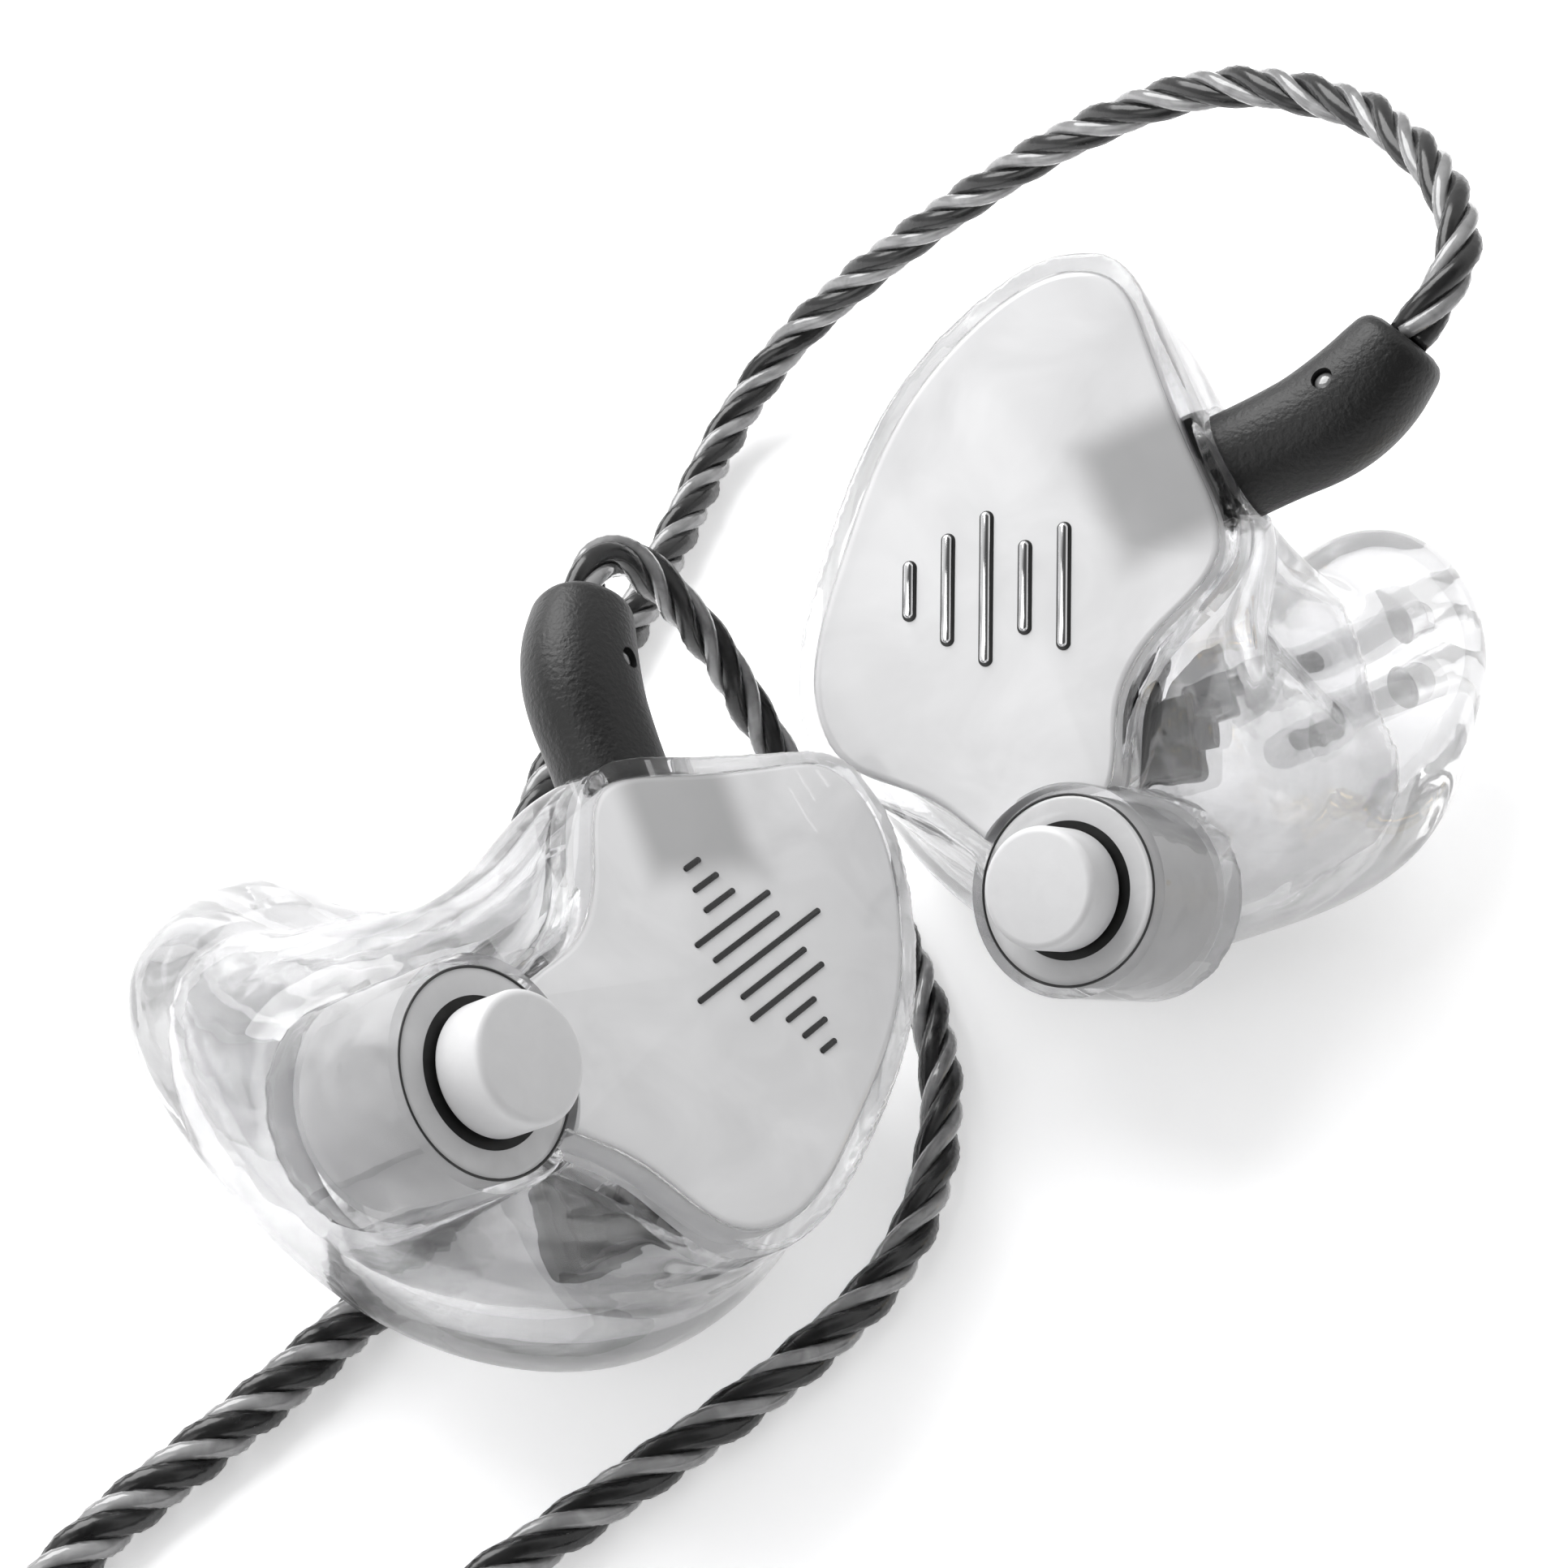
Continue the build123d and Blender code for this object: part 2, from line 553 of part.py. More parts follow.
with BuildPart() as plug_insulators:
    with BuildSketch(PLUG.offset(JACK_AT)):
        Circle(1.1)
    extrude(amount=RINGS["plug_tip"][0])
    for low, high in ((8.3, 9.0), (10.5, 11.2)):
        with BuildSketch(PLUG.offset(JACK_AT + low)):
            Circle(JACK_R)
            Circle(1.1, mode=Mode.SUBTRACT)
        extrude(amount=high - low)

for node, builder in {
    "plug_relief": plug_relief, "plug_barrel": plug_barrel, "plug_sleeve": plug_sleeve, "plug_ring": plug_ring,
    "plug_tip": plug_tip, "plug_insulators": plug_insulators,
}.items():
    save(builder.part, node)
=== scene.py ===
"""Looks of a pair of custom-moulded in-ear monitors and their twisted cable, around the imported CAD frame.

Local shapes are written in millimetres in one monitor's own frame (faceplate's outer face at z = 0, +Z out of
the ear, +X towards the connector, +Y up), then placed by that monitor's matrix. The left one is mirrored.
"""

import math

import bpy
import bmesh
import numpy as np
from mathutils import Matrix, Vector

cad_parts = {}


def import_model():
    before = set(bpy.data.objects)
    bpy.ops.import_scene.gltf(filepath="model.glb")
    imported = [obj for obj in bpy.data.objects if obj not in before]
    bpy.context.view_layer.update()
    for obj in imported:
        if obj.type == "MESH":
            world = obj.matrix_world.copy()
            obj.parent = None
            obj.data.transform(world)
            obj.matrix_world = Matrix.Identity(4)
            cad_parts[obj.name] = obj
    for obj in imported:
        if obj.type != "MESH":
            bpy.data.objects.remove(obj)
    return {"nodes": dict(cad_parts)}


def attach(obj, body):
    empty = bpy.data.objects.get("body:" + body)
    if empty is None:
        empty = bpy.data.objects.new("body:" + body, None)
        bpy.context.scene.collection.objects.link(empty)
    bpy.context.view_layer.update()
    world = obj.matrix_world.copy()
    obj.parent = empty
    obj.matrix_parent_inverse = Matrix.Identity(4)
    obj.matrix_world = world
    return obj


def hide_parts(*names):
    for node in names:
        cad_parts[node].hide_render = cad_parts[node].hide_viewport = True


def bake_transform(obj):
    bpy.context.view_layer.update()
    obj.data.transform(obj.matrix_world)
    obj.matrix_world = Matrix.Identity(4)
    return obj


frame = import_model()
ROOT = "monitors_and_cable"
MM = 0.001
MIDDLE = np.array((2.685, -15.485, 0.0))
SIDES = ("right", "left")
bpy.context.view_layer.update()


def world(p):
    """A point of the table frame in millimetres as a point of the row frame in metres."""
    return tuple((np.array(p, float) - MIDDLE) * MM)


def frame_matrix(origin, x_dir, z_dir):
    z = Vector(z_dir).normalized()
    x = Vector(x_dir)
    x = (x - z * x.dot(z)).normalized()
    y = z.cross(x)
    m = Matrix((x, y, z)).transposed().to_4x4()
    m.translation = Vector(world(origin))
    return m


PLACE = {
    "right": frame_matrix((9.6, -7.6, 18.05), (0.9364, -0.2375, 0.2584), (-0.3508, -0.6084, 0.7119)),
    "left": frame_matrix((-3.0, -26.4, 14.91), (0.6013, -0.5821, -0.5474), (0.5763, -0.1585, 0.8017)),
    "table": Matrix.Translation(Vector(world((0, 0, 0)))),
}

# ------------------------------------------------------------------ camera

cam = bpy.data.objects.new("camera", bpy.data.cameras.new("camera"))
bpy.context.scene.collection.objects.link(cam)
bpy.context.scene.camera = cam
cam.data.lens, cam.data.sensor_width = 83.0, 36.0
cam.data.clip_start, cam.data.clip_end = 0.01, 10
cam.location = world((0, -120.2, 120.2))
cam.rotation_mode = "QUATERNION"
cam.rotation_quaternion = (Vector(world((0, 0, 0))) - cam.location).to_track_quat("-Z", "Y")

# ------------------------------------------------------------------ materials

BUMP_DISTANCE = 0.0001  # metres, where a bump names none


def material(name, colour, rough, bump, tint, **inputs):
    """A Principled material with noise for its surface (bump) and its colour (tint), in object space.

    bump is (scale, strength, detail, distance); tint is (scale, second colour, half width of the change).
    Further inputs of the shader are named with underscores for spaces.
    """
    mat = bpy.data.materials.new(name)
    mat.use_nodes = True
    tree = mat.node_tree
    shader = tree.nodes["Principled BSDF"]
    shader.inputs["Base Color"].default_value = (*colour, 1)
    shader.inputs["Roughness"].default_value = rough
    for key, value in inputs.items():
        shader.inputs[key.replace("_", " ")].default_value = value
    coords = tree.nodes.new("ShaderNodeTexCoord")

    def noise(scale, detail):
        node = tree.nodes.new("ShaderNodeTexNoise")
        node.inputs["Scale"].default_value = scale
        node.inputs["Detail"].default_value = detail
        tree.links.new(coords.outputs["Object"], node.inputs["Vector"])
        return node

    scale, strength, detail, *distance = bump
    node = tree.nodes.new("ShaderNodeBump")
    node.inputs["Strength"].default_value = strength
    node.inputs["Distance"].default_value = distance[0] if distance else BUMP_DISTANCE
    tree.links.new(noise(scale, detail).outputs["Fac"], node.inputs["Height"])
    tree.links.new(node.outputs["Normal"], shader.inputs["Normal"])
    scale, second, spread = tint
    ramp = tree.nodes.new("ShaderNodeValToRGB")
    for element, place, shade in zip(ramp.color_ramp.elements, (-spread, spread), (second, colour)):
        element.position = 0.5 + place
        element.color = (*shade, 1)
    source = noise(scale, 3)
    source.inputs["Distortion"].default_value = 0.8
    tree.links.new(source.outputs["Fac"], ramp.inputs["Fac"])
    tree.links.new(ramp.outputs["Color"], shader.inputs["Base Color"])
    return mat


def grey(v):
    """A neutral colour, a touch cool."""
    return (v, v, v * 1.01)


def overlaid(mat, share, colour):
    """The material with a colour over its own, by the share that a socket gives."""
    tree = mat.node_tree
    base = tree.nodes["Principled BSDF"].inputs["Base Color"]
    mix = tree.nodes.new("ShaderNodeMix")
    mix.data_type = "RGBA"
    factor, under, over = mix.inputs[0], mix.inputs[6], mix.inputs[7]
    over.default_value = (*colour, 1)
    tree.links.new(base.links[0].from_socket, under)
    tree.links.new(share, factor)
    tree.links.new(mix.outputs[2], base)
    return mat


def tint_and_painted_edge_shade(mat, edge, blend):
    """A plastic coloured darker towards its edges as its surface turns from the view: painted shade and
    reflection in place of the dark edges that refraction and a tube's sides give, and in a tinted plastic
    partly its tint over a longer path, where more of it is in the way.
    """
    facing = mat.node_tree.nodes.new("ShaderNodeLayerWeight")
    facing.inputs["Blend"].default_value = blend
    return overlaid(mat, facing.outputs["Facing"], edge)


# the shell's edges are painted darker where they turn from view: painted shade and reflection for the dark
# edges that refraction gives
ACRYLIC = tint_and_painted_edge_shade(
    material("clear_acrylic_look", grey(0.86), 0.02, (260, 0.3, 2, 0.0004), (300, grey(0.80), 0.2),
             Transmission_Weight=1.0, IOR=1.45, Alpha=0.78, Specular_IOR_Level=0.35),
    edge=grey(0.12), blend=0.3)
SEAT = material("smoke_acrylic_look", grey(0.80), 0.16, (900, 0.05, 2), (500, grey(0.72), 0.2),
                Transmission_Weight=0.2, IOR=1.45, Coat_Weight=0.6, Coat_Roughness=0.03)
CAP_FACE = material("satin_white_look", grey(0.74), 0.42, (5200, 0.12, 3, 0.00003), (900, grey(0.70), 0.3),
                    Coat_Weight=0.15, Coat_Roughness=0.3)
BOOT = material("grained_black_look", grey(0.012), 0.42, (4600, 0.8, 4, 0.00006), (700, grey(0.012), 0.25),
                Specular_IOR_Level=0.4)
DARK_RUBBER = material("dark_rubber_look", grey(0.012), 0.55, (3000, 0.2, 3, 0.00004), (900, grey(0.02), 0.3))
STEM = material("stem_black_look", grey(0.01), 0.3, (2500, 0.1, 2, 0.00003), (900, grey(0.03), 0.3))
CHROME = material("chrome_foil_look", grey(0.86), 0.1, (1500, 0.08, 2, 0.00003), (400, grey(0.7), 0.3),
                  Metallic=1.0)
DARK_FOIL = material("dark_foil_look", grey(0.03), 0.22, (1500, 0.08, 2, 0.00003), (500, grey(0.05), 0.3),
                     Metallic=0.5)
GOLD = material("gold_look", (0.83, 0.68, 0.38), 0.16, (2500, 0.05, 2, 0.00003),
                (800, (0.74, 0.58, 0.3), 0.3), Metallic=1.0)
DRIVER = material("driver_black_look", grey(0.002), 0.35, (1800, 0.2, 3, 0.00004), (500, grey(0.006), 0.25),
                  Specular_IOR_Level=0.1)
STEEL = material("driver_steel_look", grey(0.22), 0.25, (2500, 0.1, 2, 0.00003), (700, grey(0.36), 0.3),
                 Metallic=1.0)
BOARD = material("board_look", (0.03, 0.06, 0.05), 0.35, (2600, 0.2, 3, 0.00005),
                 (900, (0.12, 0.13, 0.12), 0.08))
TUBE = material("clear_tube_look", grey(0.8), 0.1, (1500, 0.08, 2, 0.00003), (700, grey(0.7), 0.3),
                Alpha=0.25)
DAMPER = material("damper_look", grey(0.35), 0.6, (9000, 0.6, 1, 0.00005), (6000, grey(0.12), 0.1))
WIRE = material("wire_look", (0.42, 0.3, 0.22), 0.3, (3000, 0.1, 2, 0.00003), (800, (0.3, 0.2, 0.14), 0.3),
                Metallic=0.6)
MARKER = material("marker_look", grey(0.30), 0.08, (900, 0.1, 2, 0.00003), (1500, grey(0.2), 0.2),
                  Transmission_Weight=0.3, Coat_Weight=1.0)
# both kinds of strand are painted darker where they turn from view: partly the smoky tint over a longer path,
# partly painted shade of the tube's sides
SMOKY = tint_and_painted_edge_shade(
    material("smoky_strand_look", grey(0.035), 0.2, (900, 0.3, 3, 0.0001), (600, grey(0.012), 0.2),
             Specular_IOR_Level=0.5),
    edge=grey(0.002), blend=0.45)
SILVER = tint_and_painted_edge_shade(
    material("clear_strand_look", grey(0.52), 0.14, (1300, 0.35, 3, 0.0001), (700, grey(0.26), 0.22),
             Coat_Weight=0.8, Coat_Roughness=0.03),
    edge=grey(0.02), blend=0.5)
SLIDER = material("slider_look", grey(0.85), 0.1, (900, 0.1, 2, 0.00004), (700, grey(0.75), 0.3),
                  Transmission_Weight=0.9, IOR=1.45)
BARREL = material("barrel_look", grey(0.06), 0.28, (3000, 0.08, 2, 0.00003), (600, grey(0.09), 0.3),
                  Metallic=0.9)
SOCKET_AT = (0.0066, 0.0052)  # middle of the socket block behind the faceplate, in metres
SOCKET_HALF = (0.0034, 0.0031)
TURN = math.radians(23)  # the connector's direction in the faceplate's plane


def pearl(name, mirror):
    """Milky pearl: soft swirls, and the grey of the socket block showing faintly through its edge."""
    mat = material(name, grey(0.87), 0.12, (180, 0.15, 2, 0.0002), (230, grey(0.74), 0.25),
                   Coat_Weight=0.35, Coat_Roughness=0.02)
    tree = mat.node_tree
    coords = next(n for n in tree.nodes if n.type == "TEX_COORD")
    block_frame = tree.nodes.new("ShaderNodeMapping")
    block_frame.vector_type = "TEXTURE"
    block_frame.inputs["Location"].default_value = (mirror * SOCKET_AT[0], SOCKET_AT[1], 0)
    block_frame.inputs["Rotation"].default_value = (0, 0, mirror * TURN)
    block_frame.inputs["Scale"].default_value = (*SOCKET_HALF, 1)
    absolute = tree.nodes.new("ShaderNodeVectorMath")
    absolute.operation = "ABSOLUTE"
    split = tree.nodes.new("ShaderNodeSeparateXYZ")
    far = tree.nodes.new("ShaderNodeMath")
    far.operation = "SMOOTH_MAX"
    far.inputs[2].default_value = 0.25
    mask = tree.nodes.new("ShaderNodeMapRange")
    mask.interpolation_type = "SMOOTHSTEP"
    for key, value in (("From Min", 0.6), ("From Max", 1.2), ("To Min", 0.64), ("To Max", 0.0)):
        mask.inputs[key].default_value = value
    tree.links.new(coords.outputs["Object"], block_frame.inputs["Vector"])
    tree.links.new(block_frame.outputs["Vector"], absolute.inputs[0])
    tree.links.new(absolute.outputs["Vector"], split.inputs["Vector"])
    tree.links.new(split.outputs["X"], far.inputs[0])
    tree.links.new(split.outputs["Y"], far.inputs[1])
    tree.links.new(far.outputs["Value"], mask.inputs["Value"])
    return overlaid(mat, mask.outputs["Result"], grey(0.25))


PEARL = {"right": pearl("pearl_look", 1), "left": pearl("pearl_left_look", -1)}

# ------------------------------------------------------------------ mesh tools


def make(name, form, look, side="table", body=ROOT, replaces=(), smooth=40):
    """A mesh piece from a form in local millimetres, mirrored on the left monitor, riding on a body.

    Edges sharper than smooth degrees stay sharp.
    """
    verts, faces = form
    verts = np.array(verts, float) * MM
    if side == "left":
        verts[:, 0] *= -1
        faces = [tuple(reversed(f)) for f in faces]
    mesh = bpy.data.meshes.new(name)
    mesh.from_pydata(verts.tolist(), [], [list(f) for f in faces])
    mesh.materials.append(look)
    mesh.validate()
    mesh.shade_smooth()
    mesh.set_sharp_from_angle(angle=math.radians(smooth))
    piece = bpy.data.objects.new(name, mesh)
    bpy.context.scene.collection.objects.link(piece)
    piece.matrix_world = PLACE[side]
    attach(piece, body)
    if replaces:
        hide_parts(*replaces)
    return piece


def grid(rings):
    """Vertices and faces of a skin over closed rings of the same count, with fans over both ends."""
    count = len(rings[0])
    verts = [tuple(p) for r in rings for p in r]
    faces = []
    for k in range(len(rings) - 1):
        for i in range(count):
            j = (i + 1) % count
            faces.append((k * count + i, k * count + j, (k + 1) * count + j, (k + 1) * count + i))
    for k, flip in ((0, True), (len(rings) - 1, False)):
        middle = len(verts)
        verts.append(tuple(np.mean(rings[k], axis=0)))
        for i in range(count):
            a, b = k * count + i, k * count + (i + 1) % count
            faces.append((b, a, middle) if flip else (a, b, middle))
    return verts, faces


def circle(count, start=0.0):
    """Even angles round a full turn."""
    return np.linspace(start, 2 * math.pi + start, count, endpoint=False)


def squarish(q, power):
    """A point of a circle pushed out towards a square by a power below 1."""
    c, s = math.cos(q), math.sin(q)
    return math.copysign(abs(c) ** power, c), math.copysign(abs(s) ** power, s)


def spline(points, samples, closed=False):
    """A C2 cubic through the points, at samples even steps of its parameter."""
    p = np.array(points, float)
    if closed:
        p = np.vstack([p, p[:1]])
    t = np.concatenate([[0], np.cumsum(np.linalg.norm(np.diff(p, axis=0), axis=1) ** 0.75)])
    n = len(t)
    h = np.diff(t)
    a = np.zeros((n, n))
    b = np.zeros((n, p.shape[1]))
    for i in range(1, n - 1):
        a[i, i - 1], a[i, i], a[i, i + 1] = h[i - 1], 2 * (h[i - 1] + h[i]), h[i]
        b[i] = 6 * ((p[i + 1] - p[i]) / h[i] - (p[i] - p[i - 1]) / h[i - 1])
    if closed:
        a[0, 0], a[0, -1] = 1, -1
        a[-1, 0], a[-1, 1], a[-1, -2], a[-1, -1] = 2 * h[0], h[0], h[-1], 2 * h[-1]
        b[-1] = 6 * ((p[1] - p[0]) / h[0] - (p[-1] - p[-2]) / h[-1])
    else:
        a[0, 0] = a[-1, -1] = 1
    m = np.linalg.solve(a, b)
    out = []
    for s in np.linspace(0, t[-1], samples, endpoint=not closed):
        k = min(np.searchsorted(t, s, side="right") - 1, n - 2)
        u, v = t[k + 1] - s, s - t[k]
        out.append((m[k] * u**3 + m[k + 1] * v**3) / (6 * h[k])
                   + (p[k] / h[k] - m[k] * h[k] / 6) * u + (p[k + 1] / h[k] - m[k + 1] * h[k] / 6) * v)
    return np.array(out)


def turned(profile, count=72, axis=((0, 0, 0), (0, 0, 1))):
    """A lathed form: profile of (radius, distance along the axis), closed by fans where it meets the axis."""
    at, z = Vector(axis[0]), Vector(axis[1]).normalized()
    x = z.orthogonal().normalized()
    y = z.cross(x)
    rings = []
    for r, d in profile:
        rings.append([tuple(at + z * d + (x * math.cos(q) + y * math.sin(q)) * max(r, 1e-4))
                      for q in circle(count)])
    return grid(rings)


def rounded(r, low, high, edge, steps=5):
    """Profile of a disc with rounded edges."""
    out = [(0, low)]
    for k in range(steps + 1):
        q = math.pi / 2 * k / steps
        out.append((r - edge + edge * math.sin(q), low + edge - edge * math.cos(q)))
    for k in range(steps + 1):
        q = math.pi / 2 * k / steps
        out.append((r - edge + edge * math.cos(q), high - edge + edge * math.sin(q)))
    return out + [(0, high)]


def blank(verts, faces):
    """A bare mesh object in millimetres for the shaping steps."""
    mesh = bpy.data.meshes.new("blank")
    mesh.from_pydata([tuple(v) for v in verts], [], [list(f) for f in faces])
    bm = bmesh.new()
    bm.from_mesh(mesh)
    bmesh.ops.recalc_face_normals(bm, faces=bm.faces)
    bm.to_mesh(mesh)
    bm.free()
    obj = bpy.data.objects.new("blank", mesh)
    bpy.context.scene.collection.objects.link(obj)
    return obj


def applied(obj):
    """obj with its modifiers made real."""
    dg = bpy.context.evaluated_depsgraph_get()
    mesh = bpy.data.meshes.new_from_object(obj.evaluated_get(dg))
    obj.modifiers.clear()
    obj.data = mesh
    return obj


def fused(parts, voxel, rounds):
    """One smooth closed skin around several overlapping solids."""
    bm = bmesh.new()
    for p in parts:
        bm.from_mesh(p.data)
        bpy.data.objects.remove(p)
    mesh = bpy.data.meshes.new("fused")
    bm.to_mesh(mesh)
    bm.free()
    obj = bpy.data.objects.new("fused", mesh)
    bpy.context.scene.collection.objects.link(obj)
    remesh = obj.modifiers.new("remesh", "REMESH")
    remesh.mode, remesh.voxel_size, remesh.adaptivity = "VOXEL", voxel, 0.0
    soft = obj.modifiers.new("soft", "SMOOTH")
    soft.factor, soft.iterations = 0.5, rounds
    return applied(obj)


def cut(obj, tools, operation="DIFFERENCE"):
    for tool in tools:
        step = obj.modifiers.new("cut", "BOOLEAN")
        step.operation, step.object, step.solver = operation, tool, "MANIFOLD"
        applied(obj)
        bpy.data.objects.remove(tool)
    return obj


def taken(obj):
    """Vertices and faces of a blank, which is then removed."""
    verts = [tuple(v.co) for v in obj.data.vertices]
    faces = [tuple(p.vertices) for p in obj.data.polygons]
    bpy.data.objects.remove(obj)
    return verts, faces


# ------------------------------------------------------------------ shell form, as in the CAD source

OUTLINE = [
    (2.4, 15.1), (-2.2, 12.8), (-6.1, 8.3), (-8.6, 2.4), (-9.7, -3.4), (-8.2, -6.9), (-3.6, -9.0),
    (1.0, -11.5), (4.6, -8.6), (5.2, -5.0), (7.2, -1.2), (9.7, 2.2), (8.4, 6.6), (6.0, 12.1), (4.6, 14.5),
]
# depth, centre x, centre y, half width, half height, turn, share of the oval, depth of the waist
LEVELS = [
    (0.0, 0.0, 0.0, 9.7, 13.0, 0.0, 0.0, 0.0),
    (3.0, 0.6, 0.4, 10.8, 14.1, 5.0, 0.33, 0.0),
    (5.2, 0.8, 0.4, 11.0, 14.0, 7.0, 0.58, 0.8),
    (7.0, 0.9, 0.2, 11.3, 13.8, 10.0, 0.8, 3.6),
    (10.0, 1.0, -1.4, 11.8, 13.2, 19.0, 1.0, 4.4),
    (13.5, 4.4, -4.1, 9.8, 9.7, 24.0, 1.0, 2.8),
    (17.0, 9.2, -4.0, 6.6, 7.4, 10.0, 1.0, 1.0),
    (20.5, 11.0, -1.0, 5.2, 6.8, 0.0, 1.0, 0.0),
    (23.0, 11.9, 0.0, 3.9, 5.1, 0.0, 1.0, 0.0),
    (24.4, 12.2, 0.3, 2.4, 3.3, 0.0, 1.0, 0.0),
]
WAIST = (18.0, 32.0)  # direction and spread of the hollow between the connector and the canal, in degrees
BOSS_TILT = math.radians(12)
BOSS = Vector((2.6, -11.9, 0.5))  # middle of the module boss's face
BOSS_Z = Vector((-math.sin(BOSS_TILT), 0, math.cos(BOSS_TILT)))
BOSS_R = 4.5
AROUND = 120  # points round a section
WALL = 1.4


def outline(level, inset=0.0):
    """One smooth section of the shell, moved inwards by inset."""
    depth, cx, cy, half_w, half_h, turn, share, waist = level
    turn = math.radians(turn)
    points = []
    for x, y in OUTLINE:
        way = math.atan2(y / LEVELS[0][4], x / LEVELS[0][3])
        t = way - turn
        u, v = half_w * math.cos(t), half_h * math.sin(t)
        px = (1 - share) * x + share * (cx + u * math.cos(turn) - v * math.sin(turn))
        py = (1 - share) * y + share * (cy + u * math.sin(turn) + v * math.cos(turn))
        hollow = waist * math.exp(-(((math.degrees(way) - WAIST[0]) / WAIST[1]) ** 2))
        keep = 1 - (inset + hollow) / math.hypot(px - share * cx, py - share * cy)
        points.append((share * cx + (px - share * cx) * keep, share * cy + (py - share * cy) * keep, -depth))
    return spline(points, AROUND, closed=True)


def between(depth):
    table = np.array(LEVELS)
    return [depth] + [float(np.interp(depth, table[:, 0], table[:, k])) for k in range(1, 8)]


def skin(depths, inset, steps):
    """A closed loft through the sections at these depths."""
    rings = np.array([outline(between(depth), inset) for depth in depths])
    smooth = np.array([spline(rings[:, i], steps) for i in range(AROUND)]).transpose(1, 0, 2)
    return blank(*grid(list(smooth)))


def cylinder(at, z, r, length, count=64):
    return blank(*turned([(r, 0), (r, length)], count, (at, z)))


def block(at, x, z, size, deep):
    """A box of size (across, through) from at, deep along z."""
    z = Vector(z).normalized()
    x = Vector(x).normalized()
    y = z.cross(x)
    rings = []
    for d in (0, deep):
        rings.append([tuple(Vector(at) + z * d + x * a * size[0] / 2 + y * b * size[1] / 2)
                      for a, b in ((-1, -1), (1, -1), (1, 1), (-1, 1))])
    return blank(*grid(rings))


MOUTH = Vector((8.1, 5.85, -3.4))  # middle of the recess that the boot's foot stands in
PULL = Vector((math.cos(TURN), math.sin(TURN), 0))
ACROSS = Vector((-math.sin(TURN), math.cos(TURN), 0))
NOZZLE = Vector((8.0, -3.6, -13.0))  # start of the canal's line
BORE_DIR = (Vector((12.2, 0.3, -24.4)) - NOZZLE).normalized()
BORE_X = Vector((0, 1, 0))
BORE_R = 1.05
BORES = (-1.45, 1.45)


def boss_cylinder(low, high, r, count=96):
    """A cylinder on the module's tilted axis, between two heights from the boss's face."""
    return cylinder(BOSS + BOSS_Z * low, BOSS_Z, r, high - low, count)


def shell_form():
    """The hollow acrylic shell: an organic skin, less cavity, pocket, seat, recess, socket and bores."""
    outside = skin([level[0] for level in LEVELS], 0.0, 70)
    body = fused([outside, boss_cylinder(-7.6, 0, BOSS_R)], voxel=0.24, rounds=7)
    cavity = fused([skin([2.2, 4.0, 7.5, 11.0, 14.0, 15.8], WALL, 40)], voxel=0.35, rounds=6)
    pocket = blank(*grid([outline(between(0), 0.9) + np.array((0, 0, z)) for z in (-2.4, 1.0)]))
    seat_hole = boss_cylinder(-6.0, 2.0, 4.0)
    recess = cylinder(MOUTH, PULL, 2.7, 4.0)
    socket = block(MOUTH - PULL * 7.0, ACROSS, PULL, (4.8, 3.1), 7.2)
    bores = [cylinder(NOZZLE + BORE_X * x + BORE_DIR * 9.4, BORE_DIR, BORE_R, 6.6, 32) for x in BORES]
    body = cut(body, [cavity, pocket])
    body = cut(body, [boss_cylinder(-7.2, 0, BOSS_R)], "UNION")
    return taken(cut(body, [seat_hole, recess, socket, *bores]))


def faceplate_form():
    """A pearl disc let into the rim, its top edge rounded, cut round by the boss."""
    steps = [(0.0, -1.4), (0.0, -0.3), (0.06, -0.12), (0.18, -0.03), (0.4, 0.0)]
    rings = [outline(between(0), 0.86 + inset) + np.array((0, 0, z)) for inset, z in steps]
    disc = blank(*grid(rings))
    return taken(cut(disc, [boss_cylinder(-4.0, 3.0, BOSS_R - 0.08)]))


STRAIGHT, BEND, CURVE, END = 3.8, 8.5, math.radians(27), 1.9  # the boot's foot, bend radius and angle, end
BOOT_LONG = STRAIGHT + BEND * CURVE + END
DIMPLE = Vector((12.75, 9.45, -1.0))
DIMPLE_Z = Vector((-0.25, 0.42, 0.87)).normalized()


def boot_centre(far):
    """Point and direction along the boot's bent centre line."""
    turn = min(max(far - STRAIGHT, 0) / BEND, CURVE)
    rest = max(far - STRAIGHT - BEND * CURVE, 0)
    x = MOUTH.x + min(far, STRAIGHT) * math.cos(TURN) + BEND * (math.sin(TURN + turn) - math.sin(TURN))
    y = MOUTH.y + min(far, STRAIGHT) * math.sin(TURN) + BEND * (math.cos(TURN) - math.cos(TURN + turn))
    x, y = x + rest * math.cos(TURN + turn), y + rest * math.sin(TURN + turn)
    return Vector((x, y, MOUTH.z)), TURN + turn


